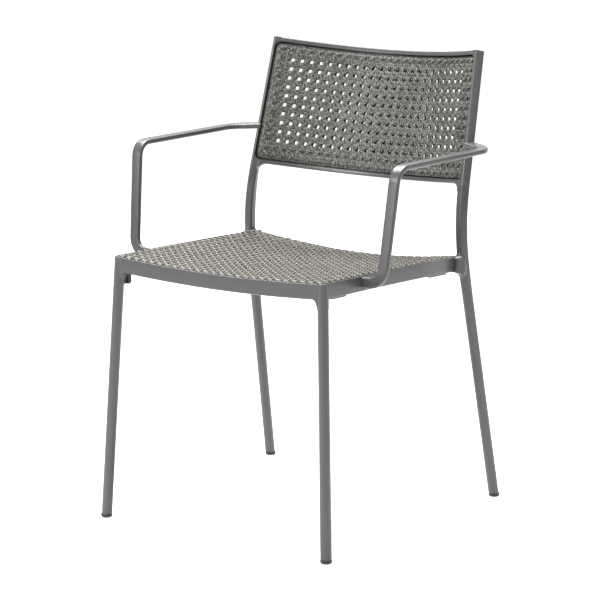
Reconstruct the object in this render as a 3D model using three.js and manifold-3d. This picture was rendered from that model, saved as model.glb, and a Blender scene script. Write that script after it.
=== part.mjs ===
// Stacking armchair: a bent metal tube frame with a dished woven seat panel and a
// double-layer woven back panel. Millimetres, +Z up, front towards -Y.
import * as THREE from 'three';
import { mergeVertices } from 'three/addons/utils/BufferGeometryUtils.js';
import Module from 'manifold-3d';

const wasm = await Module();
wasm.setup();

// Shared fits
const clearance = 0.3; // between pieces that touch
const overrun = 12; // how far a cutter passes the face it cuts

// Legs and their glides
const legRadius = 9.5;
const frontFoot = new THREE.Vector2(239, -230); // front leg axis on the floor
const frontHead = new THREE.Vector2(216.3, -209.2); // the same axis at the seat's front edge
const rearFoot = new THREE.Vector2(254.6, 287.5);
const glideHeight = 7;
const glideRadius = 10.2;
const glideEdge = 2;

// Back posts, one bent tube with the rear legs
const knee = new THREE.Vector3(233.5, 187.5, 507); // where leg line and post line would cross
const backFoot = new THREE.Vector3(229.9, 208, 586); // post axis at the lower edge of the back
const kneeRadius = 340;
const backHeight = 240; // along the leaning post
const backHeadX = 219.6; // post axis at the top edge of the back
const postWidth = 16;
const postDepth = 18;
const postEdge = 4;
const postBlendLow = 385; // the round leg becomes the squarer post between these heights
const postBlendHigh = 445;
const kneeTurn = THREE.MathUtils.degToRad(8);

// Back frame and panel
const backSagTop = 72; // how far the middle of the back lies behind the posts
const backSagBottom = 57;
const railHeight = 18;
const lowerRailRise = 1.3; // the lower rail's edge above the foot of the back
const railEdge = 2.5;
const sideLip = 5; // frame edge seen beside the panel
const railLip = 7.8; // frame edge seen above and below the panel
const backGap = 3.3; // shadow gap round the panel
const flangeThickness = 3.7; // behind the panel
const panelCorner = 11;
const lowerRailFillet = 15; // below the lower rail, down the post
const lowerRailReach = 15; // along the rail
const lowerRailBury = 2.4; // how far the fillet runs on behind the post's rounded edge
const webThickness = 1.6;
const backRingThickness = 8.5;
const layerGap = 0.7; // between the curved layers of the panel
const backRingWidth = 27;

// Woven field of the back
const columnPitch = 19.6; // along the curve, at mid height
const rowPitch = 17.05;
const columnCount = 21;
const rowCount = 10;
const gapSize = 7.8;
const fieldRise = 4.1; // how far the field sits above the panel's middle
const columnFanShare = 0.0237; // how much wider the columns stand at the foot than at the head

// Seat frame
const seatFrontHeight = 473.2; // rim height at the front corner
const seatRearHeight = 458.2;
const seatCrown = 1.3;
const seatSagFront = 8.4;
const seatSagRear = 22.6;
const seatFrontX = 225.9; // outer face of the side rail at the front
const seatRearX = 229.3;
const seatRearY = 212;
const seatBow = 24; // how far the rear edge bows back
const seatRailWidth = 19;
const seatRailHeight = 27;
const seatRailEdge = 3;
const seatTopEdge = 1.4;
const seatLip = 3.5; // frame edge round the seat panel
const seatLedge = 7.2; // depth of the rebate that carries the panel
const seatPanelGap = 0.8;
const seatRearCorner = 24; // outer radius
const seatPanelFrontCorner = 9;
const seatPanelRearCorner = 36;
const seatRingWidth = 24;
const seatRingThickness = 4.7;
const apronFillet = 24; // front rail into front leg, down the leg
const apronReach = 12.3; // and along the rail
const apronEnd = 4.5; // where it ends, short of the leg's axis
const sideFillet = 7; // side rail into front leg
const sideReach = 6.5;
const sideEnd = 3;

// Open field of the seat's web
const seatGapCount = 9; // across and along
const seatGapSize = 17;
const seatColumnPitch = 42.5;
const seatRowPitch = 41.5;
const seatFieldStart = 30; // border in front of the first row

// Cast rear corners
const castRunSide = 34; // along the side rail, in front of the corner
const castRunRear = 26; // along the rear rail
const castRise = 10; // concave blend up the post
const castRiseReach = 10.5;
const castFall = 19; // concave blend down the leg
const castFallReach = 14.5;
const castWingFront = 17;
const castWingRear = 12;
const castWingDrop = 1.6; // below the rim, so that the wings stay under the dished edge

// Arms
const armFootY = -107;
const armFootDrop = 10.4; // below the seat's rim
const armFootX = 266.7;
const armHead = new THREE.Vector3(276.6, -83, 653.4); // where upright and armrest would cross
const armRear = new THREE.Vector3(279.8, 200, 653.3);
const armEndY = 222.5;
const armEndZ = 656.5;
const armFootRadius = 27;
const armHeadRadius = 26;
const armRearRadius = 34;
const armStubWidth = 17;
const armUprightWidth = 19.4;
const armRestWidth = 20;
const armEndWidth = 18;
const armThickness = 9.3;
const armEdge = 3.4;

// Parts below the seat
const crossBarWidth = 22;
const crossBarThickness = 4;
const crossBarFrontY = -70;
const crossBarRearY = 70;
const padWidth = 12;
const padHeight = 2.8;
const padBevel = 1.5;
const padFrontStart = -189;
const padFrontLength = 41;
const padRearStart = 107;
const padRearLength = 55;
const bufferWidth = 9.5;
const bufferDepth = 9;
const bufferHeight = 23;
const bufferBevel = 3;

// Facets
const arcSteps = 3;
const edgeSteps = 2;
const legSides = 16;
const glideSides = 12;

// Colours
const frameLook = { color: 0x74757a, roughness: 0.5, metalness: 0.35 };
const castLook = { color: 0x77787c, roughness: 0.52, metalness: 0.35 };
const weaveLook = { color: 0xa9a69b, roughness: 0.75, metalness: 0 };
const ringLook = { color: 0x8a8880, roughness: 0.7, metalness: 0 };
const rubberLook = { color: 0x3a3b3d, roughness: 0.8, metalness: 0 };

const V = (x, y, z) => new THREE.Vector3(x, y, z);
const lerp = THREE.MathUtils.lerp;
const clamp = THREE.MathUtils.clamp;

// Geometry helpers

function meshFrom(points, index) {
  const geometry = new THREE.BufferGeometry();
  const position = new Float32Array(points.length * 3);
  points.forEach((p, i) => p.toArray(position, i * 3));
  geometry.setAttribute('position', new THREE.BufferAttribute(position, 3));
  const flat = index.slice();
  if (volumeOf(points, flat) < 0) {
    for (let i = 0; i < flat.length; i += 3) [flat[i], flat[i + 1]] = [flat[i + 1], flat[i]];
  }
  geometry.setIndex(flat);
  return geometry;
}

function volumeOf(points, index) {
  let sum = 0;
  const cross = V();
  for (let i = 0; i < index.length; i += 3) {
    cross.crossVectors(points[index[i + 1]], points[index[i + 2]]);
    sum += points[index[i]].dot(cross);
  }
  return sum;
}

// Joins equal rings of points. The outline is the section's flat shape, in the rings' order.
function loft(rings, outline) {
  const count = rings[0].length;
  const index = [];
  for (let k = 0; k + 1 < rings.length; k++) {
    for (let i = 0; i < count; i++) {
      const j = (i + 1) % count;
      const a = k * count;
      index.push(a + i, a + j, a + count + j, a + i, a + count + j, a + count + i);
    }
  }
  const turn = Math.sign(THREE.ShapeUtils.area(outline));
  const last = (rings.length - 1) * count;
  for (const face of THREE.ShapeUtils.triangulateShape(outline, [])) {
    const corner = face.map((i) => outline[i]);
    const same = Math.sign(THREE.ShapeUtils.area(corner)) === turn;
    const [p, q, r] = same ? face : [face[0], face[2], face[1]];
    index.push(p, r, q, last + p, last + q, last + r);
  }
  return meshFrom(rings.flat(), index);
}

// A closed band of four-cornered sections between an outer and an inner loop.
function band(outer, inner, place, low, high) {
  const rings = outer.map((point, i) => [
    place(point, low), place(point, high), place(inner[i], high), place(inner[i], low),
  ]);
  const index = [];
  const side = rings[0].length;
  rings.forEach((ring, k) => {
    const a = k * side;
    const b = ((k + 1) % rings.length) * side;
    for (let i = 0; i < side; i++) {
      const j = (i + 1) % side;
      index.push(a + i, a + j, b + j, a + i, b + j, b + i);
    }
  });
  return meshFrom(rings.flat(), index);
}

function solid(geometry) {
  const clean = geometry.clone();
  clean.deleteAttribute('normal');
  clean.deleteAttribute('uv');
  const merged = mergeVertices(clean);
  return new wasm.Manifold(new wasm.Mesh({
    numProp: 3,
    vertProperties: new Float32Array(merged.attributes.position.array),
    triVerts: new Uint32Array(merged.index.array),
  }));
}

function geometryOf(shape) {
  const mesh = shape.getMesh();
  const geometry = new THREE.BufferGeometry();
  geometry.setAttribute('position', new THREE.BufferAttribute(mesh.vertProperties, 3));
  geometry.setIndex(new THREE.BufferAttribute(mesh.triVerts, 1));
  return geometry;
}

function cut(geometry, ...cutters) {
  return geometryOf(cutters.reduce((shape, c) => shape.subtract(solid(c)), solid(geometry)));
}

function join(geometry, ...others) {
  return geometryOf(others.reduce((shape, c) => shape.add(solid(c)), solid(geometry)));
}

function mirrored(geometry) {
  const copy = geometry.clone();
  copy.scale(-1, 1, 1);
  const index = Array.from(copy.index.array);
  for (let i = 0; i < index.length; i += 3) [index[i], index[i + 1]] = [index[i + 1], index[i]];
  copy.setIndex(index);
  return copy;
}

// A rectangle with rounded corners, as offsets along the section's two axes. Each corner's
// points lie a little outside its arc, so that the flats keep the full size.
const cornerShares = [[1, 1], [-1, 1], [-1, -1], [1, -1]];
function roundedSection(halfWidth, halfDepth, edge, steps) {
  const points = [];
  const half = Math.PI / 4 / (steps + 1);
  const radius = edge / Math.cos(half);
  cornerShares.forEach(([acrossShare, upShare], corner) => {
    for (let i = 0; i <= steps; i++) {
      const angle = corner * Math.PI / 2 + (2 * i + 1) * half;
      points.push(new THREE.Vector2(
        acrossShare * (halfWidth - edge) + radius * Math.cos(angle),
        upShare * (halfDepth - edge) + radius * Math.sin(angle)));
    }
  });
  return points;
}

// Straight runs joined by round bends: places and directions along the way.
function bentPath(points, radii, steps) {
  const way = [];
  const add = (p, t) => way.push({ p, t: t.clone().normalize() });
  add(points[0], points[1].clone().sub(points[0]));
  for (let k = 1; k + 1 < points.length; k++) {
    const into = points[k].clone().sub(points[k - 1]).normalize();
    const out = points[k + 1].clone().sub(points[k]).normalize();
    const angle = into.angleTo(out);
    const radius = radii[k - 1];
    const run = radius * Math.tan(angle / 2);
    const start = points[k].clone().addScaledVector(into, -run);
    const axis = into.clone().cross(out).normalize();
    const toCentre = axis.clone().cross(into);
    const centre = start.clone().addScaledVector(toCentre, radius);
    for (let i = 0; i <= steps; i++) {
      const turn = angle * i / steps;
      const arm = start.clone().sub(centre).applyAxisAngle(axis, turn);
      add(centre.clone().add(arm), into.clone().applyAxisAngle(axis, turn));
    }
  }
  const end = points.length - 1;
  add(points[end], points[end].clone().sub(points[end - 1]));
  return way;
}

// Back: a plane that leans with the posts, curved in plan

const lean = Math.atan2(backFoot.y - knee.y, backFoot.z - knee.z);
const backUp = V(0, Math.sin(lean), Math.cos(lean));
const backDepth = V(0, Math.cos(lean), -Math.sin(lean));
const postHead = backFoot.clone().addScaledVector(backUp, backHeight).setX(backHeadX);
const frameHalfDepth = postDepth / 2;
const halfSpanAt = (u) => lerp(backFoot.x, backHeadX, u / backHeight);
const sagAt = (u) => lerp(backSagBottom, backSagTop, u / backHeight);

// x across, u up the back, n forward of the frame's middle surface
function backPoint(x, u, n) {
  const span = halfSpanAt(u);
  const sag = sagAt(u);
  const slope = -2 * sag * x / (span * span);
  const size = Math.hypot(1, slope);
  const depth = sag * (1 - (x / span) ** 2) - n / size;
  return V(x + n * slope / size, backFoot.y, backFoot.z)
    .addScaledVector(backUp, u)
    .addScaledVector(backDepth, depth);
}
const backPlace = (point, n) => backPoint(point.x, point.y, n);

// x at a length measured along the back's curve from its middle
function xAtArc(length) {
  const span = halfSpanAt(backHeight / 2);
  const sag = sagAt(backHeight / 2);
  const slope = 2 * sag / (span * span);
  let x = length;
  for (let i = 0; i < 8; i++) {
    const m = slope * x;
    const arc = (m * Math.hypot(1, m) + Math.asinh(m)) / (2 * slope);
    x -= (arc - length) / Math.hypot(1, m);
  }
  return x;
}

// Outline of the back panel, grown or drawn in, from the middle of its lower edge.
function backLoop(inset, corner) {
  const half = (u) => halfSpanAt(u) + postWidth / 2 - sideLip - backGap - inset;
  const low = railLip + backGap + inset;
  const high = backHeight - railLip - backGap - inset;
  const alongSteps = 11;
  const points = [];
  const put = (x, u) => points.push(new THREE.Vector2(x, u));
  for (let i = 0; i < alongSteps; i++) put((half(low) - corner) * i / alongSteps, low);
  for (let i = 0; i <= 4; i++) {
    const a = i / 4 * Math.PI / 2;
    const u = low + corner * (1 - Math.cos(a));
    put(half(u) - corner * (1 - Math.sin(a)), u);
  }
  put(half((low + high) / 2), (low + high) / 2);
  for (let i = 0; i <= 4; i++) {
    const a = i / 4 * Math.PI / 2;
    const u = high - corner * (1 - Math.sin(a));
    put(half(u) - corner * (1 - Math.cos(a)), u);
  }
  for (let i = alongSteps - 1; i >= 0; i--) put((half(high) - corner) * i / alongSteps, high);
  const left = points.slice(1, -1).reverse().map((p) => new THREE.Vector2(-p.x, p.y));
  return points.concat(left);
}

const pocketFloor = flangeThickness - frameHalfDepth;
const rearWebLow = pocketFloor + layerGap;
const rearWebHigh = rearWebLow + webThickness;
const backRingLow = rearWebHigh + layerGap;
const backRingHigh = backRingLow + backRingThickness;
const frontWebLow = backRingHigh + layerGap;
const frontWebTop = frontWebLow + webThickness;

function backPocket() {
  const outer = backLoop(-backGap, panelCorner);
  const inner = backLoop(backRingWidth, panelCorner);
  return band(outer, inner, backPlace, pocketFloor, frameHalfDepth + overrun);
}

// A rail of the back between the posts, from one height to another. A fillet widens it into
// the post.
function backRail(low, high, fillet, reach) {
  const section = roundedSection((high - low) / 2, frameHalfDepth, railEdge, 1);
  const middle = (low + high) / 2;
  const half = halfSpanAt(middle);
  const inner = half - postWidth / 2 + (fillet ? lowerRailBury : 0);
  const places = [half - postWidth / 4];
  const bends = fillet ? 5 : 0;
  for (let i = 0; i <= bends; i++) {
    places.push(inner - reach * (1 - Math.cos(i / (bends || 1) * Math.PI / 2)));
  }
  const straight = places[places.length - 1];
  const spans = 7;
  for (let i = 1; i <= spans; i++) places.push(straight * (1 - i / spans));
  const all = places.concat(places.slice(0, -1).reverse().map((x) => -x));
  const rings = all.map((x) => {
    const drop = filletDrop(inner - Math.abs(x), reach, fillet);
    return section.map((p) => {
      const u = middle + p.x - (p.x < 0 ? drop : 0);
      return backPoint(x, u, p.y);
    });
  });
  return loft(rings, section);
}

// Legs

function postRing(way, grow) {
  const { p, t } = way;
  const share = clamp((p.z - postBlendLow) / (postBlendHigh - postBlendLow), 0, 1);
  const halfWidth = lerp(legRadius, postWidth / 2, share) + grow;
  const halfDepth = lerp(legRadius, postDepth / 2, share) + grow;
  const edge = lerp(legRadius, postEdge, share) + grow;
  const u = clamp((p.z - backFoot.z) / (postHead.z - backFoot.z), 0, 1);
  const frameTurn = Math.atan(2 * sagAt(u * backHeight) / halfSpanAt(u * backHeight));
  const rise = clamp((p.z - knee.z) / (backFoot.z - knee.z), 0, 1);
  const turn = lerp(kneeTurn * share, frameTurn, rise);
  const tilt = p.z <= glideHeight ? 0 : Math.atan2(t.y, t.z);
  const depth = V(0, Math.cos(tilt), -Math.sin(tilt));
  const across = V(Math.cos(turn), 0, 0).addScaledVector(depth, -Math.sin(turn));
  const forward = V(-Math.sin(turn), 0, 0).addScaledVector(depth, -Math.cos(turn));
  return roundedSection(halfWidth, halfDepth, edge, arcSteps).map((s) => p.clone()
    .addScaledVector(across, s.x).addScaledVector(forward, s.y));
}

function rearLegWay() {
  const foot = V(rearFoot.x, rearFoot.y, 0);
  const start = foot.clone().lerp(knee, glideHeight / knee.z);
  return bentPath([start, knee, postHead], [kneeRadius], 7);
}

function rearLeg(grow) {
  const way = rearLegWay();
  const start = way[0].p;
  const low = start.clone().lerp(knee, (postBlendLow - start.z) / (knee.z - start.z));
  way.splice(1, 0, { p: low, t: way[0].t });
  const bend = way[way.length - 2];
  const frameStart = bend.p.clone()
    .lerp(postHead, (backFoot.z - bend.p.z) / (postHead.z - bend.p.z));
  if (frameStart.z > bend.p.z) way.splice(way.length - 1, 0, { p: frameStart, t: bend.t });
  const rings = way.map((station) => postRing(station, grow));
  if (grow) {
    const past = backUp.clone().multiplyScalar(overrun);
    rings.push(rings[rings.length - 1].map((p) => p.clone().add(past)));
  }
  return loft(rings, roundedSection(legRadius, legRadius, legRadius, arcSteps));
}

// The axis of the bent rear leg at a height
function rearLegAt(z) {
  const way = rearLegWay();
  const next = Math.max(1, way.findIndex(({ p }) => p.z > z));
  const [a, b] = [way[next - 1].p, way[next].p];
  return a.clone().lerp(b, (z - a.z) / (b.z - a.z));
}
const frontLegAt = (z) => frontFoot.clone().lerp(frontHead, z / seatFrontHeight);

function frontLeg(grow) {
  const radius = legRadius + grow;
  const section = roundedSection(radius, radius, radius, arcSteps);
  const ring = (z, inset) => {
    const axis = frontLegAt(z);
    return section.map((s) => {
      const share = (radius - inset) / radius;
      const x = axis.x + s.x * share;
      const y = axis.y + s.y * share;
      return V(x, y, z - (grow ? 0 : seatFrontHeight - seatTop(x, y)) * z / seatFrontHeight);
    });
  };
  const top = seatFrontHeight + (grow ? overrun : 0);
  const rings = [ring(glideHeight, 0), ring(top - seatTopEdge, 0), ring(top, seatTopEdge)];
  return loft(rings, section);
}

function footGlide(foot) {
  const profile = [
    [0, 0], [glideRadius - glideEdge, 0], [glideRadius, glideEdge],
    [glideRadius, glideHeight - glideEdge], [legRadius, glideHeight - clearance],
    [0, glideHeight - clearance],
  ].map(([r, z]) => new THREE.Vector2(r, z));
  const geometry = new THREE.LatheGeometry(profile, glideSides);
  geometry.rotateX(Math.PI / 2);
  geometry.translate(foot.x, foot.y, 0);
  return geometryOf(solid(geometry));
}

// Seat: a dished surface, its rails and panel

const seatFrontY = frontHead.y - legRadius;
const alongSeat = (y) => (y - seatFrontY) / (seatRearY - seatFrontY);
const sideX = (y) => lerp(seatFrontX, seatRearX, alongSeat(y));
const rimHeight = (y) => {
  const t = alongSeat(y);
  return lerp(seatFrontHeight, seatRearHeight, t) + 4 * seatCrown * t * (1 - t);
};
function seatTop(x, y) {
  const sag = lerp(seatSagFront, seatSagRear, alongSeat(y));
  return rimHeight(y) - sag * Math.max(0, 1 - (x / sideX(y)) ** 2);
}
const seatPlace = (point, level) => V(point.x, point.y, seatTop(point.x, point.y) + level);

// Places on the seat's outline, each with its outward direction
const sideAt = (y) => {
  const slope = (seatRearX - seatFrontX) / (seatRearY - seatFrontY);
  return { p: new THREE.Vector2(sideX(y), y), out: new THREE.Vector2(1, -slope).normalize() };
};
const rearAt = (x, inset = 0) => {
  const half = seatRearX - inset;
  const y = seatRearY - inset + seatBow * (1 - (x / half) ** 2);
  const slope = 2 * seatBow * x / (half * half);
  return { p: new THREE.Vector2(x, y), out: new THREE.Vector2(slope, 1).normalize() };
};

// A round corner between the side line and the rear bow.
function rearCorner(inset, radius, steps) {
  const half = seatRearX - inset;
  const tip = new THREE.Vector2(half, seatRearY - inset);
  const into = sideAt(seatRearY).out.clone().rotateAround(new THREE.Vector2(), Math.PI / 2);
  const slope = 2 * seatBow / half;
  const out = new THREE.Vector2(-1, slope).normalize();
  const angle = Math.acos(clamp(into.dot(out), -1, 1));
  const run = radius * Math.tan(angle / 2);
  const start = tip.clone().addScaledVector(into, -run);
  const normal = into.clone().rotateAround(new THREE.Vector2(), -Math.PI / 2);
  const centre = start.clone().addScaledVector(normal, -radius);
  const places = [];
  for (let i = 0; i <= steps; i++) {
    const facing = normal.clone().rotateAround(new THREE.Vector2(), angle * i / steps);
    places.push({ p: centre.clone().addScaledVector(facing, radius), out: facing });
  }
  return places;
}

// Outline of the seat panel, grown or drawn in, from the middle of its front edge.
function seatLoop(inset, frontCorner, rearRadius) {
  const front = seatFrontY + inset;
  const points = [];
  const put = (x, y) => points.push(new THREE.Vector2(x, y));
  const half = sideX(front) - inset;
  for (let i = 0; i < 5; i++) put((half - frontCorner) * i / 5, front);
  for (let i = 0; i <= arcSteps; i++) {
    const a = i / arcSteps * Math.PI / 2;
    const y = front + frontCorner * (1 - Math.cos(a));
    put(sideX(y) - inset - frontCorner * (1 - Math.sin(a)), y);
  }
  const arc = rearCorner(inset, rearRadius, 5);
  const from = points[points.length - 1].y;
  for (let i = 1; i < 7; i++) {
    const y = lerp(from, arc[0].p.y, i / 7);
    put(sideX(y) - inset, y);
  }
  arc.forEach(({ p }) => put(p.x, p.y));
  const last = points[points.length - 1];
  for (let i = 1; i <= 5; i++) {
    const x = last.x * (1 - i / 5);
    put(x, rearAt(x, inset).p.y);
  }
  const left = points.slice(1, -1).reverse().map((p) => new THREE.Vector2(-p.x, p.y));
  return points.concat(left);
}

// Section of a seat rail: o runs outward, z up from the rim; marked points follow the dish.
function railProfile(rebated) {
  const inner = -seatRailWidth;
  const corner = (o, z, from) => Array.from({ length: edgeSteps + 1 }, (_, i) => {
    const a = from + i / edgeSteps * Math.PI / 2;
    return { o: o + seatRailEdge * Math.cos(a), z: z + seatRailEdge * Math.sin(a) };
  });
  const base = -seatRailHeight + seatRailEdge;
  const outline = [
    ...corner(inner + seatRailEdge, base, Math.PI),
    ...corner(-seatRailEdge, base, -Math.PI / 2),
    { o: 0, z: -seatTopEdge, top: true },
    { o: -seatTopEdge, z: 0, top: true },
  ];
  if (rebated) {
    outline.push(
      { o: -seatLip, z: 0, top: true },
      { o: -seatLip, z: -seatLedge, top: true },
      { o: inner, z: -seatLedge, top: true });
  } else outline.push({ o: inner, z: 0, top: true });
  return outline;
}

function seatRail(stations, rebated = true) {
  const profile = railProfile(rebated);
  const rings = stations.map(({ p, out, drop = 0 }) => profile.map(({ o, z, top }) => {
    const x = p.x + out.x * o;
    const y = p.y + out.y * o;
    const level = top ? seatTop(x, y) : seatTop(p.x, p.y) - drop;
    return V(x, y, level + z);
  }));
  return loft(rings, profile.map(({ o, z }) => new THREE.Vector2(o, z)));
}

// How far an elliptical fillet hangs below a rail at a distance from its end on the leg.
function filletDrop(distance, reach, depth) {
  if (!depth) return 0;
  const away = clamp(distance, 0, reach);
  return depth * (1 - Math.sqrt(1 - ((reach - away) / reach) ** 2));
}

function seatFrontRail() {
  const inner = frontHead.x - apronEnd;
  const places = [frontHead.x];
  for (let i = 0; i <= 5; i++) {
    places.push(inner - apronReach * (1 - Math.cos(i / 5 * Math.PI / 2)));
  }
  const reach = places[places.length - 1];
  for (let i = 1; i <= 6; i++) places.push(reach * (1 - i / 6));
  const all = places.concat(places.slice(0, -1).reverse().map((x) => -x));
  const stations = all.map((x) => ({
    p: new THREE.Vector2(x, seatFrontY),
    out: new THREE.Vector2(0, -1),
    drop: filletDrop(inner - Math.abs(x), apronReach, apronFillet),
  }));
  const leg = frontLeg(clearance);
  return cut(seatRail(stations), leg, mirrored(leg));
}

const castStart = rearCorner(0, seatRearCorner, 1)[0].p.y - castRunSide;
const castEnd = rearCorner(0, seatRearCorner, 1)[1].p.x - castRunRear;

function seatSideRail() {
  const start = frontHead.y + sideEnd;
  const places = [frontHead.y];
  for (let i = 0; i <= 3; i++) places.push(start + sideReach * (1 - Math.cos(i * Math.PI / 6)));
  const reach = places[places.length - 1];
  const end = castStart - clearance;
  for (let i = 1; i <= 8; i++) places.push(lerp(reach, end, i / 8));
  const stations = places.map((y) => ({
    ...sideAt(y),
    drop: filletDrop(y - start, sideReach, sideFillet),
  }));
  return cut(seatRail(stations), frontLeg(clearance), seatFrontCut());
}

// The front rail owns the corner: what it fills is cleared from the side rail.
function seatFrontCut() {
  const depth = seatRailWidth + clearance;
  const far = frontHead.x;
  const shape = new THREE.Shape();
  shape.moveTo(-far, seatFrontY - overrun);
  shape.lineTo(far, seatFrontY - overrun);
  shape.lineTo(far, seatFrontY + depth);
  shape.lineTo(-far, seatFrontY + depth);
  const height = 3 * seatRailHeight;
  const block = new THREE.ExtrudeGeometry(shape, { depth: height, bevelEnabled: false });
  block.translate(0, 0, seatFrontHeight - 2 * seatRailHeight);
  return block;
}

function seatRearRail() {
  const half = castEnd - clearance;
  const stations = [];
  for (let i = 0; i <= 12; i++) stations.push(rearAt(half * (1 - i / 6)));
  return seatRail(stations);
}

function seatPocket() {
  const inset = seatLip;
  const outer = seatLoop(inset, seatPanelFrontCorner, seatPanelRearCorner);
  const inner = seatLoop(inset + seatRingWidth + overrun, seatPanelFrontCorner, seatPanelRearCorner);
  return band(outer, inner, seatPlace, -seatLedge, seatRailHeight);
}

// Cast corner: the rail turned round the corner, with blends that hold the rear leg.
function castCorner() {
  const stations = [];
  for (let i = 0; i < 3; i++) stations.push(sideAt(castStart + castRunSide * i / 3));
  stations.push(...rearCorner(0, seatRearCorner, 5));
  for (let i = 2; i >= 0; i--) stations.push(rearAt(castEnd + castRunRear * i / 3));
  const body = seatRail(stations, false);
  const geometry = join(body, castWing(), castBlend());
  return cut(geometry, rearLeg(clearance), seatPocket());
}

// Fillets in plan between the rail's outer face and the leg.
function castWing() {
  const height = rimHeight(rearLegAt(seatRearHeight).y);
  const leg = rearLegAt(height - seatRailHeight / 2);
  const face = sideX(leg.y);
  const reach = leg.x - face;
  const inside = face - seatRailEdge;
  const shape = new THREE.Shape();
  const near = leg.y - legRadius - castWingFront;
  const far = leg.y + legRadius + castWingRear;
  shape.moveTo(inside, near);
  shape.lineTo(face, near);
  for (let i = 1; i <= 4; i++) {
    const a = i / 4 * Math.PI / 2;
    shape.lineTo(leg.x - reach * Math.cos(a), near + castWingFront * Math.sin(a));
  }
  for (let i = 0; i <= 4; i++) {
    const a = i / 4 * Math.PI / 2;
    shape.lineTo(leg.x - reach * Math.sin(a), far - castWingRear * Math.cos(a));
  }
  shape.lineTo(inside, far);
  const depth = seatRailHeight - castWingDrop - seatTopEdge;
  const block = new THREE.ExtrudeGeometry(shape, { depth, bevelEnabled: false });
  block.translate(0, 0, height - castWingDrop - depth);
  return block;
}

// Concave flares above and below the rail, towards the two rails that meet here.
function castBlend() {
  const top = rimHeight(rearLegAt(seatRearHeight).y);
  const core = postWidth / 2 - seatTopEdge;
  const rings = [];
  const ring = (z, flare) => {
    const axis = rearLegAt(z);
    const points = [];
    for (let i = 0; i < legSides; i++) {
      const a = i / legSides * Math.PI * 2;
      const lobe = Math.max(0, -Math.cos(a)) ** 2 + Math.max(0, -Math.sin(a)) ** 2;
      const r = lerp(core, legRadius + flare, lobe);
      points.push(V(axis.x + r * Math.cos(a), axis.y + r * Math.sin(a), z));
    }
    rings.push(points);
  };
  const steps = 4;
  const bends = [0, 1, 2, 3, 4].map((i) => i / steps * Math.PI / 2);
  bends.forEach((b) => ring(
    top - seatRailHeight - castFall * (1 - Math.sin(b)), castFallReach * (1 - Math.cos(b))));
  bends.reverse().forEach((b) => ring(
    top - seatTopEdge + castRise * (1 - Math.sin(b)), castRiseReach * (1 - Math.cos(b))));
  const outline = rings[0].map((p) => new THREE.Vector2(p.x, p.y));
  return loft(rings, outline);
}

const seatPanelInset = seatLip + seatPanelGap;

function seatPanelRing() {
  const outer = seatLoop(seatPanelInset, seatPanelFrontCorner, seatPanelRearCorner);
  const inner = seatLoop(seatPanelInset + seatRingWidth, seatPanelFrontCorner, seatPanelRearCorner);
  const low = clearance - seatLedge;
  return band(outer, inner, seatPlace, low, low + seatRingThickness);
}

function seatWeb() {
  const outline = seatLoop(seatPanelInset, seatPanelFrontCorner, seatPanelRearCorner);
  const low = 3 * clearance - seatLedge + seatRingThickness;
  const xs = gapEdges(0, seatGapCount, seatColumnPitch, seatGapSize);
  const first = seatFrontY + seatPanelInset + seatFieldStart + seatGapSize / 2;
  const middle = first + (seatGapCount - 1) / 2 * seatRowPitch;
  const rows = gapEdges(middle, seatGapCount, seatRowPitch, seatGapSize)
    .map((y) => xs.map((x) => new THREE.Vector2(x, y)));
  return gapWeb(outline, rows, seatPlace, low, low + webThickness);
}

function crossBar(y) {
  const half = sideX(y) - seatRailWidth - clearance;
  const high = -seatLedge - 3 * clearance;
  const outline = [[-1, 0], [1, 0], [1, 1], [-1, 1]].map(([a, b]) => new THREE.Vector2(a, b));
  const rings = [];
  for (let i = 0; i <= 14; i++) {
    const x = half * (1 - i / 7);
    const level = seatTop(x, y) + high;
    rings.push(outline.map((s) => V(
      x, y + s.x * crossBarWidth / 2, level - crossBarThickness * (1 - s.y))));
  }
  return loft(rings, outline);
}

// Arms

function armGeometry() {
  const face = sideX(armFootY) + clearance;
  const postAxis = postPointAt(armEndZ);
  const footZ = rimHeight(armFootY) - armFootDrop;
  const points = [
    V(face, armFootY, footZ), V(armFootX, armFootY, footZ), armHead, armRear,
    V(postAxis.x, armEndY, armEndZ),
  ];
  const way = bentPath(points, [armFootRadius, armHeadRadius, armRearRadius], 5);
  const widths = [
    armStubWidth, ...Array(6).fill(armUprightWidth), ...Array(6).fill(armRestWidth),
    ...Array(6).fill(armRestWidth), armEndWidth,
  ];
  const rings = way.map(({ p, t }, k) => {
    const wide = t.z > t.y ? t.clone().cross(V(0, 1, 0)) : V(-1, 0, 0).addScaledVector(t, t.x);
    if (k < 2) wide.set(0, 0, 1);
    wide.normalize();
    const thick = t.clone().cross(wide);
    return roundedSection(widths[k] / 2, armThickness / 2, armEdge, 2).map((s) => p.clone()
      .addScaledVector(wide, s.x).addScaledVector(thick, s.y));
  });
  const section = roundedSection(armRestWidth / 2, armThickness / 2, armEdge, 2);
  return cut(loft(rings, section), rearLeg(clearance));
}

function postPointAt(z) {
  return knee.clone().lerp(postHead, (z - knee.z) / (postHead.z - knee.z));
}

// Pads and buffers

function stackingPad(start, length) {
  const middle = seatRailWidth / 2;
  const section = [
    [-padWidth / 2, 0], [padBevel - padWidth / 2, -padHeight],
    [padWidth / 2 - padBevel, -padHeight], [padWidth / 2, 0],
  ].map(([o, z]) => new THREE.Vector2(o, z));
  const rings = [];
  for (const [run, depth] of [
    [0, 0], [padBevel, 1], [length / 2, 1], [length - padBevel, 1], [length, 0],
  ]) {
    const y = start + run;
    const { p, out } = sideAt(y);
    const base = rimHeight(y) - seatRailHeight - clearance;
    rings.push(section.map((s) => V(
      p.x + out.x * (s.x - middle), p.y, base + s.y * (depth || 1 - padBevel / padHeight))));
  }
  return loft(rings, section);
}

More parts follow.
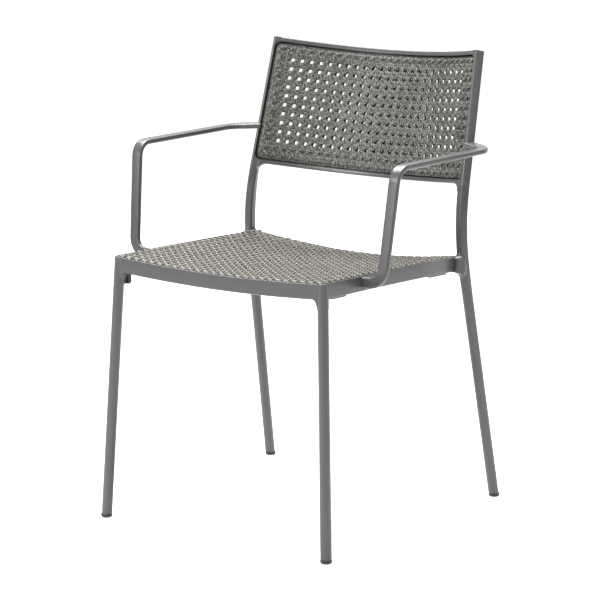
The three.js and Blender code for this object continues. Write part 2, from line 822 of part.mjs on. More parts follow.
// A small block below the side rail, close behind the front leg.
function stackingBuffer() {
  const shape = new THREE.Shape();
  shape.moveTo(0, 0);
  shape.lineTo(0, -bufferHeight);
  shape.lineTo(bufferDepth - bufferBevel, -bufferHeight);
  shape.lineTo(bufferDepth, bufferBevel - bufferHeight);
  shape.lineTo(bufferDepth, 0);
  const block = new THREE.ExtrudeGeometry(shape, { depth: bufferWidth, bevelEnabled: false });
  block.rotateX(Math.PI / 2);
  block.rotateZ(Math.PI / 2);
  const near = frontHead.y + legRadius + clearance;
  const top = rimHeight(near + bufferDepth) - seatRailHeight - clearance;
  block.translate(frontHead.x - bufferWidth, near, top);
  return geometryOf(solid(block));
}

// Triangles between an outer and an inner loop, each step taking the shorter crossing.
function stitch(plane, outer, inner) {
  const start = inner.reduce((best, k, i) => {
    const nearer = plane[k].distanceTo(plane[outer[0]]) < plane[inner[best]].distanceTo(plane[outer[0]]);
    return nearer ? i : best;
  }, 0);
  const triangles = [];
  let i = 0;
  let j = 0;
  while (i < outer.length || j < inner.length) {
    const a = outer[i % outer.length];
    const b = inner[(start + j) % inner.length];
    const nextA = outer[(i + 1) % outer.length];
    const nextB = inner[(start + j + 1) % inner.length];
    const viaA = plane[nextA].distanceTo(plane[b]);
    const viaB = plane[a].distanceTo(plane[nextB]);
    if (j >= inner.length || (i < outer.length && viaA <= viaB)) {
      triangles.push([a, nextA, b]);
      i++;
    } else {
      triangles.push([a, nextB, b]);
      j++;
    }
  }
  return triangles;
}

// The edges of evenly spaced gaps about a middle.
function gapEdges(middle, count, pitch, size) {
  const edges = [];
  for (let i = 0; i < count; i++) {
    const centre = middle + (i - (count - 1) / 2) * pitch;
    edges.push(centre - size / 2, centre + size / 2);
  }
  return edges;
}

// A thin curved sheet with a field of gaps inside a plain border. The rows hold the gaps'
// corners, from one side to the other.
function gapWeb(outline, rows, place, low, high) {
  const across = rows[0].length;
  const along = rows.length;
  const points = [];
  const index = [];
  const at = (i, j) => j * across + i;
  const open = (i, j) => i % 2 === 0 && j % 2 === 0;
  const rim = [];
  for (let i = 0; i < across - 1; i++) rim.push(at(i, 0));
  for (let j = 0; j < along - 1; j++) rim.push(at(across - 1, j));
  for (let i = across - 1; i > 0; i--) rim.push(at(i, along - 1));
  for (let j = along - 1; j > 0; j--) rim.push(at(0, j));
  const flat = rows.flat();
  const plane = flat.concat(outline);
  const size = plane.length;
  [low, high].forEach((level) => plane.forEach((p) => points.push(place(p, level))));
  const face = (a, b, c) => index.push(size + a, size + b, size + c, a, c, b);
  const quad = (a, b, c, d) => {
    face(a, b, c);
    face(a, c, d);
  };
  const wall = (a, b) => index.push(a, b, size + b, a, size + b, size + a);
  for (let j = 0; j < along - 1; j++) {
    for (let i = 0; i < across - 1; i++) {
      const corners = [at(i, j), at(i + 1, j), at(i + 1, j + 1), at(i, j + 1)];
      if (open(i, j)) corners.forEach((c, k) => wall(corners[(k + 1) % 4], c));
      else quad(...corners);
    }
  }
  const outer = outline.map((p, k) => flat.length + k);
  for (const triangle of stitch(plane, outer, rim)) face(...triangle);
  outline.forEach((p, k) => wall(flat.length + k, flat.length + (k + 1) % outline.length));
  return meshFrom(points, index);
}

function backWeb(low, high) {
  const xs = gapEdges(0, columnCount, columnPitch, gapSize).map(xAtArc);
  const us = gapEdges(backHeight / 2 + fieldRise, rowCount, rowPitch, gapSize);
  const rows = us.map((u) => {
    const fan = 1 + columnFanShare * (1 / 2 - u / backHeight);
    return xs.map((x) => new THREE.Vector2(x * fan, u));
  });
  return gapWeb(backLoop(0, panelCorner), rows, backPlace, low, high);
}

// Assembly

const chair = new THREE.Group();

function add(name, geometry, look) {
  geometry.computeVertexNormals();
  const material = new THREE.MeshStandardMaterial({ ...look, flatShading: true });
  const mesh = new THREE.Mesh(geometry, material);
  mesh.name = name;
  chair.add(mesh);
}

function addPair(name, geometry, look) {
  add(`${name}_right`, geometry, look);
  add(`${name}_left`, mirrored(geometry), look);
}

const pocket = backPocket();
const seatCut = seatPocket();
const rearLegGrown = rearLeg(clearance);

addPair('front_leg', cut(frontLeg(0), seatCut), frameLook);
addPair('rear_leg', cut(rearLeg(0), pocket), frameLook);
for (const [place, foot] of [['front', frontFoot], ['rear', rearFoot]]) {
  addPair(`foot_glide_${place}`, footGlide(foot), rubberLook);
}

add('seat_front_rail', seatFrontRail(), frameLook);
addPair('seat_side_rail', seatSideRail(), frameLook);
add('seat_rear_rail', seatRearRail(), frameLook);
addPair('rear_corner', castCorner(), castLook);

const topRail = backRail(backHeight - railHeight, backHeight, 0, 0);
const lowerRail = backRail(lowerRailRise, railHeight, lowerRailFillet, lowerRailReach);
const postCutters = [pocket, rearLegGrown, mirrored(rearLegGrown)];
add('back_top_rail', cut(topRail, ...postCutters), frameLook);
add('back_lower_rail', cut(lowerRail, ...postCutters), frameLook);

addPair('arm', armGeometry(), frameLook);

add('back_front_web', backWeb(frontWebLow, frontWebTop), weaveLook);
add('back_rear_web', backWeb(rearWebLow, rearWebHigh), weaveLook);
add('back_panel_ring', band(
  backLoop(0, panelCorner), backLoop(backRingWidth, panelCorner / 2), backPlace,
  backRingLow, backRingHigh), ringLook);

add('seat_web', seatWeb(), weaveLook);
add('seat_panel_ring', seatPanelRing(), ringLook);
add('seat_cross_bar_front', crossBar(crossBarFrontY), frameLook);
add('seat_cross_bar_rear', crossBar(crossBarRearY), frameLook);

addPair('stacking_pad_front', stackingPad(padFrontStart, padFrontLength), rubberLook);
addPair('stacking_pad_rear', stackingPad(padRearStart, padRearLength), rubberLook);
addPair('stacking_buffer', stackingBuffer(), rubberLook);

// The origin is the middle of the footprint box, on the floor.
const box = new THREE.Box3().setFromObject(chair, true);
chair.position.set(0, -(box.min.y + box.max.y) / 2, 0);

export default chair;
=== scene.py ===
# Stacking armchair: grey powder-coated frame, woven seat, back panel woven front and rear.
import bpy
import math
import numpy as np
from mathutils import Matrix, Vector
from mathutils.bvhtree import BVHTree


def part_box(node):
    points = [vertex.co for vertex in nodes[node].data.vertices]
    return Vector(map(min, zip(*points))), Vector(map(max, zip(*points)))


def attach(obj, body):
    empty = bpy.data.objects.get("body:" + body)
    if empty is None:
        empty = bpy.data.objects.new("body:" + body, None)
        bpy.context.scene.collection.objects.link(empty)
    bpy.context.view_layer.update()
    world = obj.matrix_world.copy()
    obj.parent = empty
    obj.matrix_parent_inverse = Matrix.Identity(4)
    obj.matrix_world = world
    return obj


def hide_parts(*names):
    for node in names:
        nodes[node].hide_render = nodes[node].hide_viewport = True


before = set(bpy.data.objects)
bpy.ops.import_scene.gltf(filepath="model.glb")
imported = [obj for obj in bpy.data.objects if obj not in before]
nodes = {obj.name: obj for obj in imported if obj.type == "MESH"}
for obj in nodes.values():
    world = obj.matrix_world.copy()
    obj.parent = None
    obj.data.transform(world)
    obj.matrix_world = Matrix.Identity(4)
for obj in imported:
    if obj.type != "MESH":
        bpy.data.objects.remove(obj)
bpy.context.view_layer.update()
scene = bpy.context.scene
scene.view_settings.view_transform = "Standard"
print("frame loaded:", len(nodes), "nodes")


# Small helpers
def clearSelection():
    if bpy.context.object and bpy.context.object.mode != "OBJECT":
        endEdit()
    bpy.ops.object.select_all(action="DESELECT")


def pick(*objs):
    clearSelection()
    for obj in objs:
        obj.select_set(True)
    bpy.context.view_layer.objects.active = objs[0]
    return objs[0]


def editAll(obj):
    pick(obj)
    bpy.ops.object.mode_set(mode="EDIT")
    bpy.ops.mesh.select_all(action="SELECT")


def endEdit():
    bpy.ops.object.mode_set(mode="OBJECT")


def applyModifiers(obj):
    pick(obj)
    for name in [m.name for m in obj.modifiers]:
        bpy.ops.object.modifier_apply(modifier=name)


def joinAll(objs, name):
    obj = pick(*objs)
    bpy.ops.object.join()
    obj.name = name
    obj.data.name = name
    return obj


def readPoints(obj):
    points = np.empty(len(obj.data.vertices) * 3)
    obj.data.vertices.foreach_get("co", points)
    return points.reshape(-1, 3)


def writePoints(obj, points):
    obj.data.vertices.foreach_set("co", np.asarray(points, dtype=float).ravel())
    obj.data.update()


def finishPiece(obj, material, replaced):
    obj.data.materials.clear()
    obj.data.materials.append(material)
    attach(obj, "root")
    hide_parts(*replaced)
    return obj


# Shader maths
class Wire:
    def __init__(self, tree, out):
        self.tree = tree
        self.out = out

    def math(self, operation, *values):
        node = self.tree.nodes.new("ShaderNodeMath")
        node.operation = operation
        for socket, value in zip(node.inputs, values):
            plug(self.tree, socket, value)
        return Wire(self.tree, node.outputs[0])

    def __add__(self, other): return self.math("ADD", self, other)
    def __radd__(self, other): return self.math("ADD", other, self)
    def __sub__(self, other): return self.math("SUBTRACT", self, other)
    def __rsub__(self, other): return self.math("SUBTRACT", other, self)
    def __mul__(self, other): return self.math("MULTIPLY", self, other)
    def __rmul__(self, other): return self.math("MULTIPLY", other, self)


def plug(tree, socket, value):
    if isinstance(value, Wire):
        tree.links.new(value.out, socket)
    elif hasattr(socket.default_value, "__len__") and len(socket.default_value) == len(value) + 1:
        socket.default_value = (*value, 1.0)    # a colour without its alpha
    else:
        socket.default_value = value


def blend(shares, *masks):
    rest = (share * mask for share, mask in zip(shares[1:], masks[1:]))
    return sum(rest, shares[0] * masks[0])


# By number, since a Mix node's colour sockets share their names with its other sockets
mixSockets = {"factor": 0, "a": 6, "b": 7, "result": 2}


class Finish:
    def __init__(self, name):
        self.material = bpy.data.materials.new(name)
        self.material.use_nodes = True
        self.tree = self.material.node_tree
        self.shader = self.tree.nodes["Principled BSDF"]

    def node(self, kind, settings=None, output=0, **values):
        node = self.tree.nodes.new(kind)
        for key, value in (settings or {}).items():
            if key == "stops":
                for element, (place, colour) in zip(node.color_ramp.elements, value):
                    element.position = place
                    element.color = (*colour, 1.0)
            else:
                setattr(node, key, value)
        for key, value in values.items():
            plug(self.tree, node.inputs[key.replace("_", " ")], value)
        return Wire(self.tree, node.outputs[output])

    def mix(self, factor, a, b):
        node = self.tree.nodes.new("ShaderNodeMix")
        node.data_type = "RGBA"
        for key, value in (("factor", factor), ("a", a), ("b", b)):
            plug(self.tree, node.inputs[mixSockets[key]], value)
        return Wire(self.tree, node.outputs[mixSockets["result"]])

    def noise(self, place, scale, detail, roughness=0.5):
        return self.node("ShaderNodeTexNoise", Vector=place, Scale=scale, Detail=detail,
                         Roughness=roughness)

    def stretchedNoise(self, source, scales, detail):
        place = self.node("ShaderNodeMapping", Vector=source, Scale=scales)
        return self.noise(place, 1.0, detail)

    def contrast(self, value, low, high):    # low to high becomes 0 to 1
        return self.node("ShaderNodeMapRange", Value=value, **{"From_Min": low, "From_Max": high})

    def bump(self, height, strength, distance):
        return self.node("ShaderNodeBump", Height=height, Strength=strength, Distance=distance)

    def setTo(self, **values):
        for key, value in values.items():
            plug(self.tree, self.shader.inputs[key.replace("_", " ")], value)


# Powder coat: fine grain, slow patches, a little wear on the edges
powderSettings = {
    "light": (0.057, 0.057, 0.058), "dark": (0.041, 0.041, 0.042), "worn": (0.10, 0.10, 0.10),
    "grain": 1500.0, "patch": 9.0, "fleck": 3450.0, "shares": (0.62, 0.23, 0.15),
    "low": 0.36, "high": 0.64, "wearFrom": 0.53, "wearTo": 0.60, "ragged": 0.03, "wear": 0.35,
    "roughness": 0.27, "grainRoughness": 0.10, "wearPolish": 0.06, "gloss": 0.5,
    "bump": 0.16, "bumpDepth": 0.0004, "fleckBump": 0.5}


def powderCoat(name, s):
    f = Finish(name)
    place = f.node("ShaderNodeTexCoord", output="Object")
    grain = f.noise(place, s["grain"], detail=2.0, roughness=0.6)
    fleck = f.noise(place, s["fleck"], detail=1.0)
    patch = f.noise(place, s["patch"], detail=4.0, roughness=0.6)
    edge = f.node("ShaderNodeNewGeometry", output="Pointiness")
    stops = [(s["wearFrom"], (0, 0, 0)), (s["wearTo"], (1, 1, 1))]
    wear = f.node("ShaderNodeValToRGB", {"stops": stops}, Fac=edge + s["ragged"] * patch)
    shade = f.contrast(blend(s["shares"], grain, patch, fleck), s["low"], s["high"])
    colour = f.mix(shade, s["dark"], s["light"])
    colour = f.mix(wear * s["wear"], colour, s["worn"])
    roughness = s["roughness"] + s["grainRoughness"] * grain - s["wearPolish"] * wear
    bump = f.bump(grain + s["fleckBump"] * fleck, s["bump"], s["bumpDepth"])
    f.setTo(Base_Color=colour, Roughness=roughness, Normal=bump, Metallic=0.0,
            Specular_IOR_Level=s["gloss"])
    return f.material


powder = powderCoat("greyPowderCoat", powderSettings)


# Cane: its patterns follow each strand by the strand's own map, and are scaled along and across it.
# Its near-black dark end and strong spot speckle are painted shade and painted highlight
caneSettings = {
    "light": (0.365, 0.352, 0.324), "dark": (0.020, 0.019, 0.017),
    "streak": (70.0, 2600.0, 1.0), "tint": (6.0, 230.0, 1.0), "spot": (310.0, 520.0, 1.0),
    "shares": (0.22, 0.23, 0.55), "roughness": 0.40, "spotRoughness": 0.16, "gloss": 0.45,
    "bump": 0.35, "bumpDepth": 0.0003}
seatCaneSettings = {**caneSettings, "tone": (0.44, 0.427, 0.378), "spread": 0.09}
# The under layer's cane is the seat's cane darkened: painted shade for the shadow the seat casts on
# it
paintedShadeUnderCaneSettings = {**caneSettings, "tone": (0.035, 0.034, 0.03), "spread": 0.13}
backCaneSettings = {**caneSettings, "tone": (0.43, 0.437, 0.418), "spread": 0.042}


def cane(name, s):
    f = Finish(name)
    strand = f.node("ShaderNodeUVMap", {"uv_map": "strand"})
    streak = f.stretchedNoise(strand, s["streak"], detail=3.0)
    tint = f.stretchedNoise(strand, s["tint"], detail=1.0)
    # spot speckle: painted shade and painted highlight, dark and light specks for the shadowed gaps
    # and lit crossings of the strands; it also varies the roughness
    spot = f.stretchedNoise(strand, s["spot"], detail=2.0)
    shade = f.contrast(blend(s["shares"], streak, tint, spot), 0.5 - s["spread"], 0.5 + s["spread"])
    dark, light = ([c * k for c, k in zip(s[key], s["tone"])] for key in ("dark", "light"))
    f.setTo(Base_Color=f.mix(shade, dark, light),
            Roughness=s["roughness"] + s["spotRoughness"] * spot,
            Normal=f.bump(streak, s["bump"], s["bumpDepth"]), Specular_IOR_Level=s["gloss"])
    return f.material


seatCane = cane("seatCane", seatCaneSettings)
paintedShadeUnderCane = cane("paintedShadeUnderCane", paintedShadeUnderCaneSettings)
backCane = cane("backCane", backCaneSettings)


# Plastic of the panel rings, and of the glides, pads and buffers
plasticSettings = {"patch": 60.0, "pit": 1500.0, "shares": (0.8, 0.2), "patchRoughness": 0.15,
                   "bump": 0.22, "bumpDepth": 0.0003}
rimSettings = {**plasticSettings, "light": (0.118, 0.117, 0.109), "dark": (0.008, 0.007, 0.006),
               "grain": 380.0, "spread": 0.07, "roughness": 0.55}
glideSettings = {**plasticSettings, "light": (0.030, 0.030, 0.032), "dark": (0.018, 0.018, 0.020),
                 "grain": 1100.0, "spread": 0.15, "roughness": 0.5}


def plastic(name, s):
    f = Finish(name)
    place = f.node("ShaderNodeTexCoord", output="Object")
    grain = f.noise(place, s["grain"], detail=3.0, roughness=0.6)
    patch = f.noise(place, s["patch"], detail=3.0, roughness=0.6)
    pit = f.node("ShaderNodeTexVoronoi", {"feature": "F1"}, Vector=place, Scale=s["pit"])
    shade = f.contrast(blend(s["shares"], grain, patch), 0.5 - s["spread"], 0.5 + s["spread"])
    f.setTo(Base_Color=f.mix(shade, s["dark"], s["light"]),
            Roughness=s["roughness"] + s["patchRoughness"] * patch,
            Normal=f.bump(grain + pit, s["bump"], s["bumpDepth"]))
    return f.material


rimPlastic = plastic("panelRim", rimSettings)
glidePlastic = plastic("glidePlastic", glideSettings)
print("finishes made")


# Frame: smooth copies of the metal and plastic nodes, the metal ones closed up at their welds
weldSettings = {
    "order": ("front_leg", "rear_leg", "rear_corner", "seat_front_rail", "back_top_rail",
              "back_lower_rail", "seat_side_rail", "seat_rear_rail", "arm_", "seat_cross_bar"),
    "gap": 0.0006, "touching": 0.00002, "overlap": 0.00012}
copySettings = {"merge": 0.00002, "smooth": 50.0}
metalNodes = [n for n in nodes if n.startswith(weldSettings["order"])]
plasticNodes = [n for n in nodes if n.startswith(("foot_glide", "stacking_pad", "stacking_buffer"))]


def weldRank(name):    # a piece is run up to those that come before it in the order
    return [name.startswith(start) for start in weldSettings["order"]].index(True)


def meshTree(obj):
    return BVHTree.FromPolygons([v.co for v in obj.data.vertices],
                                [p.vertices for p in obj.data.polygons])


metalTrees = {name: meshTree(nodes[name]) for name in metalNodes}


def closeWelds(obj, name):    # points at a joint move on until they touch the piece they meet
    s = weldSettings
    points = readPoints(obj)
    for other in metalNodes:
        if weldRank(other) >= weldRank(name):
            continue
        low, high = (np.array(corner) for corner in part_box(other))
        near = np.all((points > low - s["gap"]) & (points < high + s["gap"]), axis=1)
        for i in np.nonzero(near)[0]:
            place = Vector(points[i])
            spot = metalTrees[other].find_nearest(place, s["gap"])[0]
            if spot is not None and (spot - place).length > s["touching"]:
                points[i] = spot + (spot - place).normalized() * s["overlap"]
    writePoints(obj, points)


def smoothCopy(name, material):
    source = nodes[name]
    obj = source.copy()
    obj.data = source.data.copy()
    obj.parent = None
    for key in list(obj.keys()):
        del obj[key]
    scene.collection.objects.link(obj)
    obj.name = name + "_smooth"
    pick(obj)
    bpy.ops.mesh.customdata_custom_splitnormals_clear()
    editAll(obj)
    bpy.ops.mesh.remove_doubles(threshold=copySettings["merge"])
    endEdit()
    if name in metalNodes:
        closeWelds(obj, name)
    bpy.ops.object.shade_smooth_by_angle(angle=math.radians(copySettings["smooth"]))
    normals = obj.modifiers.new("even", "WEIGHTED_NORMAL")
    normals.keep_sharp = True
    applyModifiers(obj)
    return finishPiece(obj, material, [name])


for name in metalNodes:
    smoothCopy(name, powder)
for name in plasticNodes:
    smoothCopy(name, glidePlastic)
nodes["seat_panel_ring"].data.materials[0] = rimPlastic
print("frame copies:", len(metalNodes) + len(plasticNodes))


# Back panel: x is to the side, u is up the lean from the knee of the posts, n is off the surface
centring = -0.0530144    # the chair is centred on its footprint
backForm = {
    "knee": (0.208, 0.586), "lean": math.atan2(20.5, 79),    # of the posts: back and up
    "height": 0.240, "spanLow": 0.2299, "spanHigh": 0.2196, "sagLow": 0.057, "sagHigh": 0.072,
    "low": 0.0111, "high": 0.2289, "side": 0.0003, "corner": 0.011, "cornerSteps": 4,
    "midHeight": 0.123, "fan": 0.0237, "reach": 0.235, "samples": 1201}


def backSpan(u):
    s = backForm
    return s["spanLow"] + (s["spanHigh"] - s["spanLow"]) * u / s["height"]


def backSag(u):
    s = backForm
    return s["sagLow"] + (s["sagHigh"] - s["sagLow"]) * u / s["height"]


def backSurface(x, u, n):
    s = backForm
    span, sag = backSpan(u), backSag(u)
    slope = -2 * sag * x / span ** 2
    size = np.hypot(1, slope)
    depth = sag * (1 - (x / span) ** 2) - n / size
    sine, cosine = math.sin(s["lean"]), math.cos(s["lean"])
    return np.stack([x + n * slope / size, s["knee"][0] + centring + u * sine + depth * cosine,
                     s["knee"][1] + u * cosine - depth * sine], axis=1)


def fanAt(u):    # the strands stand wider towards the foot of the back
    s = backForm
    return 1 + s["fan"] * (s["midHeight"] - u) / s["height"]


# Lengths along the bend of the back, to lay flat strands on it without stretching them
backHalf = np.linspace(-backForm["reach"], backForm["reach"], backForm["samples"])


def arcTable():
    s = backForm
    slope = -2 * backSag(s["midHeight"]) * backHalf / backSpan(s["midHeight"]) ** 2
    step = np.hypot(1, slope)
    arc = np.concatenate([[0], np.cumsum((step[1:] + step[:-1]) / 2 * np.diff(backHalf))])
    return arc - arc[len(arc) // 2]


backArc = arcTable()


def backOutline(inset):
    s = backForm
    low, high = s["low"] + inset, s["high"] - inset
    corner = s["corner"] - inset
    points = []
    for side, u, turn in ((1, low, -90), (1, high, 0), (-1, high, 90), (-1, low, 180)):
        for i in range(s["cornerSteps"] + 1):
            angle = math.radians(turn + 90 * i / s["cornerSteps"])
            centre = u + (corner if u == low else -corner)
            v = centre + corner * math.sin(angle)
            reach = np.interp(backSpan(v) - s["side"] - inset, backHalf, backArc) / fanAt(v)
            points.append((side * (reach - corner) + corner * math.cos(angle), v))
    return points


# Ring inside the back panel: its top bar is narrower, so the topmost holes stay whole
ringSettings = {"from": 0.19, "to": 0.205, "reach": 0.205, "rise": 0.0044}


def openRing(obj):
    s = ringSettings
    up = np.array((0, math.sin(backForm["lean"]), math.cos(backForm["lean"])))
    points = readPoints(obj)
    u = (points - (0, backForm["knee"][0] + centring, backForm["knee"][1])) @ up
    inner = (u > s["from"]) & (u < s["to"]) & (np.abs(points[:, 0]) < s["reach"])
    points[inner] += up * s["rise"]
    writePoints(obj, points)


openRing(smoothCopy("back_panel_ring", rimPlastic))
print("back ring opened")


# Seat panel: it sags between the side rails, and its rear edge is bowed
seatForm = {
    "frontX": 0.2259, "frontY": -0.2187, "frontZ": 0.4732, "depth": 0.4307,
    "rearX": 0.2293, "rearY": 0.212, "rearZ": 0.4582, "bow": 0.024,
    "crown": 0.0013, "sagFront": 0.0084, "sagRear": 0.0226,
    "lip": 0.0043, "frontCorner": 0.0115, "rearCorner": 0.036,
    "frontSteps": 3, "rearSteps": 6, "bowSteps": 6, "rounds": 8}


def seatTop(x, y):
    s = seatForm
    t = (y - s["frontY"]) / s["depth"]
    sideX = s["frontX"] + (s["rearX"] - s["frontX"]) * t
    rim = s["frontZ"] + (s["rearZ"] - s["frontZ"]) * t + 4 * s["crown"] * t * (1 - t)
    sag = s["sagFront"] + (s["sagRear"] - s["sagFront"]) * t
    return rim - sag * np.maximum(0, 1 - (x / sideX) ** 2)


def seatRear(x, inset):
    s = seatForm
    return s["rearY"] - inset + s["bow"] * (1 - (x / (s["rearX"] - inset)) ** 2)


def seatSide(y, inset):
    s = seatForm
    return s["frontX"] + (s["rearX"] - s["frontX"]) * (y - s["frontY"]) / s["depth"] - inset


def seatOutline(inset):
    s = seatForm
    inset += s["lip"]
    small, large = s["frontCorner"], s["rearCorner"]
    front = s["frontY"] + inset
    half = []
    for i in range(s["frontSteps"] + 1):
        angle = math.radians(-90 + 90 * i / s["frontSteps"])
        y = front + small + small * math.sin(angle)
        half.append((seatSide(y, inset) - small + small * math.cos(angle), y))
    x = s["rearX"] - inset - large
    for _ in range(s["rounds"]):    # the rear corner's centre closes in on its place
        y = seatRear(x, inset + large)
        x = seatSide(y, inset + large)
    last = math.atan2(1, 2 * s["bow"] * x / (s["rearX"] - inset - large) ** 2)
    for i in range(s["rearSteps"] + 1):
        angle = last * i / s["rearSteps"]
        half.append((x + large * math.cos(angle), y + large * math.sin(angle)))
    end = half[-1][0]
    for i in range(1, s["bowSteps"]):
        bowX = end * (1 - i / s["bowSteps"])
        half.append((bowX, float(seatRear(bowX, inset))))
    return half + [(0.0, float(seatRear(0, inset)))] + [(-x, y) for x, y in reversed(half)]


# Weave: strands are laid flat, trimmed to the outline, then laid on the panel
strandSettings = {"sides": 6, "fullness": 1.12, "merge": 0.00001, "spareRows": 3, "capSides": 12,
                  "mapLift": 0.3, "smooth": 60.0}


def strandUnit(name, s, way, waves):    # one repeat of a strand: a flat ring that is extruded
    clearSelection()
    bpy.ops.mesh.primitive_circle_add(vertices=strandSettings["sides"], radius=0.5,
                                      fill_type="NOTHING", location=(0, 0, 0))
    obj = bpy.context.object
    obj.name = name
    editAll(obj)
    bpy.ops.transform.resize(value=(s["width"], s["thick"] * strandSettings["fullness"], 1))
    bpy.ops.transform.rotate(value=math.radians(-90), orient_axis="X", center_override=(0, 0, 0))
    turn = math.atan2(way[1], way[0]) - math.pi / 2
    bpy.ops.transform.rotate(value=-turn, orient_axis="Z", center_override=(0, 0, 0))
    places = [(way[0] * t, way[1] * t, z) for t, z in waves]
    bpy.ops.transform.translate(value=places[0])
    for before, after in zip(places, places[1:]):
        bpy.ops.mesh.extrude_region_move(
            TRANSFORM_OT_translate={"value": [b - a for a, b in zip(before, after)]})
    endEdit()
    return obj


def repeatUnit(unit, start, along, alongCount, across, acrossCount):
    editAll(unit)
    bpy.ops.transform.translate(value=(*start, 0))
    endEdit()
    for label, offset, count, merge in (("length", along, alongCount, True),
                                        ("rows", across, acrossCount, False)):
        array = unit.modifiers.new(label, "ARRAY")
        array.use_relative_offset = False
        array.use_constant_offset = True
        array.constant_offset_displace = (*offset, 0)
        array.count = count
        array.use_merge_vertices = merge
        array.merge_threshold = strandSettings["merge"]
    applyModifiers(unit)


def trimTo(obj, outline):    # every edge of the convex outline cuts the strands
    editAll(obj)
    for a, b in zip(outline, outline[1:] + outline[:1]):
        bpy.ops.mesh.select_all(action="SELECT")
        outwards = (b[1] - a[1], a[0] - b[0], 0)
        bpy.ops.mesh.bisect(plane_co=(*a, 0), plane_no=outwards, clear_outer=True)
    bpy.ops.mesh.select_all(action="SELECT")
    bpy.ops.mesh.fill_holes(sides=strandSettings["capSides"])
    endEdit()


def strandMap(obj, way):    # a map that runs along the strands and across them
    size = math.hypot(*way)
    points = readPoints(obj)
    along = (points[:, 0] * way[0] + points[:, 1] * way[1]) / size
    across = (points[:, 0] * way[1] - points[:, 1] * way[0]) / size
    across = across + points[:, 2] * strandSettings["mapLift"]
    corners = np.empty(len(obj.data.loops), dtype=np.int32)
    obj.data.loops.foreach_get("vertex_index", corners)
    for layer in list(obj.data.uv_layers):
        obj.data.uv_layers.remove(layer)
    layer = obj.data.uv_layers.new(name="strand")
    layer.data.foreach_set("uv", np.stack([along[corners], across[corners]], axis=1).ravel())


def strandField(name, s, way, waves, start, count, across, acrossCount, outline):
    unit = strandUnit(name, s, way, waves)
    repeatUnit(unit, start, way, count, across, acrossCount)
    trimTo(unit, outline)
    strandMap(unit, way)
    return unit


def pairWaves(place, lift):    # over one strand of the pair it crosses and under the other
    return [(-0.5, 0), (-place, lift), (place, -lift), (0.5, 0)]


def diagonalWaves(flat, lift):    # level across each pair, changing sides on the way to the next
    return [(0, lift), (flat, lift), (0.5 - flat, -lift), (0.5 + flat, -lift),
            (1 - flat, lift), (1, lift)]


def weave(name, panel, outline):    # pairs both ways, then single diagonals between their crossings
    s = panel["strand"]
    middle, (px, py), (tilt, shear) = panel["middle"], panel["pitch"], panel["slant"]
    xs, ys = zip(*outline)
    columns = math.ceil((max(xs) - min(xs)) / px) + strandSettings["spareRows"]
    rows = math.ceil((max(ys) - min(ys)) / py) + strandSettings["spareRows"]
    aside, up = np.array((px, tilt * px)), np.array((shear * py, py))    # one step each way
    first = np.array(middle) - aside * (0.5 + math.ceil((middle[0] - min(xs)) / px))
    first = first - up * (0.5 + math.ceil((middle[1] - min(ys)) / py))
    half, diagonal = s["pairHalf"], {**s, "width": s["diagonal"]}
    fields = []
    for side in (-1, 1):
        lift = side * s["lift"]
        fields.append(strandField(name + "_upright", s, up, pairWaves(half / py, lift),
                                  first + (side * half, 0), rows, aside, columns, outline))
        fields.append(strandField(name + "_level", s, aside, pairWaves(half / px, -lift),
                                  first + (0, side * half), columns, up, rows, outline))
    for side in (-1, 1):
        start = first - up - aside * (0.5 + (0 if side > 0 else rows))
        waves = diagonalWaves(s["crossRun"], side * s["cross"])
        fields.append(strandField(name + "_diagonal", diagonal, up - side * aside, waves,
                                  start, rows + 1, aside, columns + rows + 1, outline))
    return fields


def edgeDrop(points, outline, panel):    # the strands turn over the panel's edge
    near = np.full(len(points), 1.0)
    for a, b in zip(outline, outline[1:] + outline[:1]):
        run, rise = b[0] - a[0], b[1] - a[1]
        inside = (points[:, 1] - a[1]) * run - (points[:, 0] - a[0]) * rise
        near = np.minimum(near, inside / math.hypot(run, rise))
    return panel["turnDrop"] * np.clip(1 - near / panel["turnReach"], 0, 1) ** 2


def layOnBack(obj, level, outline, panel):
    points = readPoints(obj)
    x = np.interp(points[:, 0] * fanAt(points[:, 1]), backArc, backHalf)
    off = (points[:, 2] - edgeDrop(points, outline, panel)) * np.sign(level) + level
    writePoints(obj, backSurface(x, points[:, 1], off))


def layOnSeat(obj, level, outline, panel):
    points = readPoints(obj)
    x, y = points[:, 0], points[:, 1]
    height = seatTop(x, y) + points[:, 2] + level - edgeDrop(points, outline, panel)
    writePoints(obj, np.stack([x, y + centring, height], axis=1))


def wovenPiece(name, strands, lay, level, outline, panel, material, replaced):
    piece = joinAll(strands, name)
    lay(piece, level, outline, panel)
    editAll(piece)
    bpy.ops.mesh.normals_make_consistent(inside=False)
    endEdit()
    bpy.ops.object.shade_smooth_by_angle(angle=math.radians(strandSettings["smooth"]))
    finishPiece(piece, material, [replaced])
    print(piece.name, len(piece.data.polygons), "faces")


backWeave = {
    "strand": {"width": 0.0045, "diagonal": 0.0045, "thick": 0.00085, "pairHalf": 0.0031,
               "lift": 0.00042, "cross": 0.00085, "crossRun": 0.21},
    "pitch": (0.018, 0.01705), "middle": (-0.0034, 0.1338), "slant": (0.006, 0.018),
    "front": 0.0077, "rear": -0.0038, "inset": 0.0006, "turnReach": 0.004, "turnDrop": 0.0035}
outline = backOutline(backWeave["inset"])
for layer in ("front", "rear"):
    wovenPiece("back_weave_" + layer, weave(layer + "Strand", backWeave, outline), layOnBack,
               backWeave[layer], outline, backWeave, backCane, "back_" + layer + "_web")

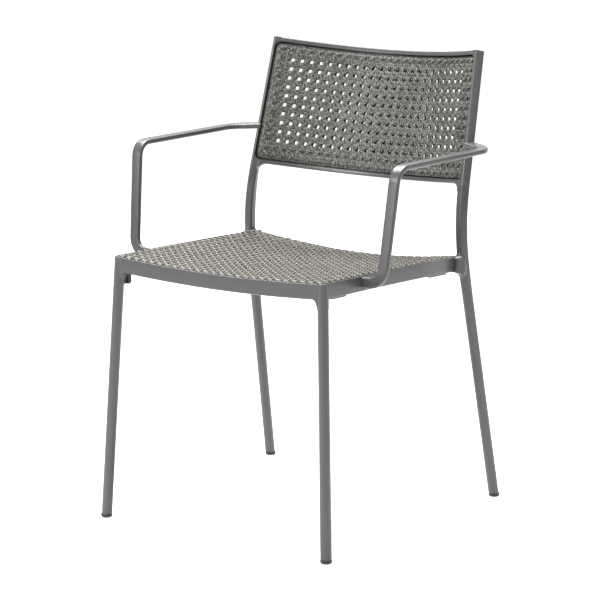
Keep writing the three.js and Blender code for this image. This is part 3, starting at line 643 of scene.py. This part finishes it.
seatWeave = {
    "strand": {"width": 0.0037, "diagonal": 0.0037, "thick": 0.0008, "pairHalf": 0.0026,
               "lift": 0.0004, "cross": 0.0008, "crossRun": 0.21},
    "pitch": (0.0169, 0.0166), "middle": (0, 0.004), "slant": (0.0, 0.0),
    "level": 0.0016, "inset": -0.0012, "turnReach": 0.003, "turnDrop": 0.0012}
outline = seatOutline(seatWeave["inset"])
strands = weave("seatStrand", seatWeave, outline)
for name, group in (("seat_weave_straight", strands[:4]), ("seat_weave_diagonal", strands[4:])):
    wovenPiece(name, group, layOnSeat, seatWeave["level"], outline, seatWeave, seatCane, "seat_web")

# A closer weave below the seat's, its cane toned far darker: painted shade for the shadow under the
# seat
underWeave = {**seatWeave, "strand": {**seatWeave["strand"], "width": 0.0062, "pairHalf": 0.0032},
              "level": -0.0052, "inset": 0.021, "turnDrop": 0.0}
outline = seatOutline(underWeave["inset"])
wovenPiece("seat_weave_under", weave("underStrand", underWeave, outline), layOnSeat,
           underWeave["level"], outline, underWeave, paintedShadeUnderCane, "seat_web")


# Floor, light, camera
stageSettings = {"floor": 60.0, "tone": (0.4, 0.4, 0.4), "roughness": 0.9, "white": (1, 1, 1),
                 "glow": 0.85, "sky": 0.56}
clearSelection()
bpy.ops.mesh.primitive_plane_add(size=stageSettings["floor"], location=(0, 0, 0))
floor = bpy.context.object
floor.name = "studioFloor"
floorFinish = Finish("floorPaper")
floorFinish.setTo(Base_Color=stageSettings["tone"], Roughness=stageSettings["roughness"],
                  Emission_Color=stageSettings["white"], Emission_Strength=stageSettings["glow"])
floor.data.materials.append(floorFinish.material)
world = bpy.data.worlds.new("studio")
world.use_nodes = True
sky = world.node_tree.nodes["Background"].inputs
sky["Color"].default_value = (*stageSettings["white"], 1)
sky["Strength"].default_value = stageSettings["sky"]
scene.world = world

overheadLight = {"place": (-0.5, 0.6, 3.2), "aim": (0, 0, 0.4), "size": (2.4, 2.4), "power": 370}
keyLight = {"place": (-1.5, -3.8, 1.9), "aim": (0, 0, 0.45), "size": (1.8, 1.8), "power": 118}
fillLight = {"place": (3.6, -0.8, 1.7), "aim": (0, 0, 0.45), "size": (1.6, 1.6), "power": 14}
backdropLight = {"place": (-1.9, 2.7, 2.5), "aim": (0, 0, 0.6), "size": (3.6, 1.8), "power": 22}
for name, s in (("overhead", overheadLight), ("key", keyLight), ("fill", fillLight),
                ("backdrop", backdropLight)):
    lamp = bpy.data.lights.new(name, "AREA")
    lamp.shape = "RECTANGLE"
    lamp.size, lamp.size_y = s["size"]
    lamp.energy = s["power"]
    holder = bpy.data.objects.new(name, lamp)
    holder.location = s["place"]
    aim = Vector(s["aim"]) - Vector(s["place"])
    holder.rotation_euler = aim.to_track_quat("-Z", "Y").to_euler()
    scene.collection.objects.link(holder)

cameraSettings = {"azimuth": 35.48, "elevation": 11.45, "distance": 4.457, "lens": 149.76,
                  "sensor": 36, "clip": 200, "target": (0, -0.0233144, 0.3799)}
s = cameraSettings
turn, rise = math.radians(s["azimuth"]), math.radians(s["elevation"])
back = Vector((math.sin(turn) * math.cos(rise), -math.cos(turn) * math.cos(rise), math.sin(rise)))
lens = bpy.data.cameras.new("photoCamera")
lens.lens = s["lens"]
lens.sensor_width = s["sensor"]
lens.clip_end = s["clip"]
camera = bpy.data.objects.new("photoCamera", lens)
camera.location = Vector(s["target"]) + back * s["distance"]
camera.rotation_euler = (-back).to_track_quat("-Z", "Y").to_euler()
scene.collection.objects.link(camera)
scene.camera = camera
print("stage, lights and camera set")
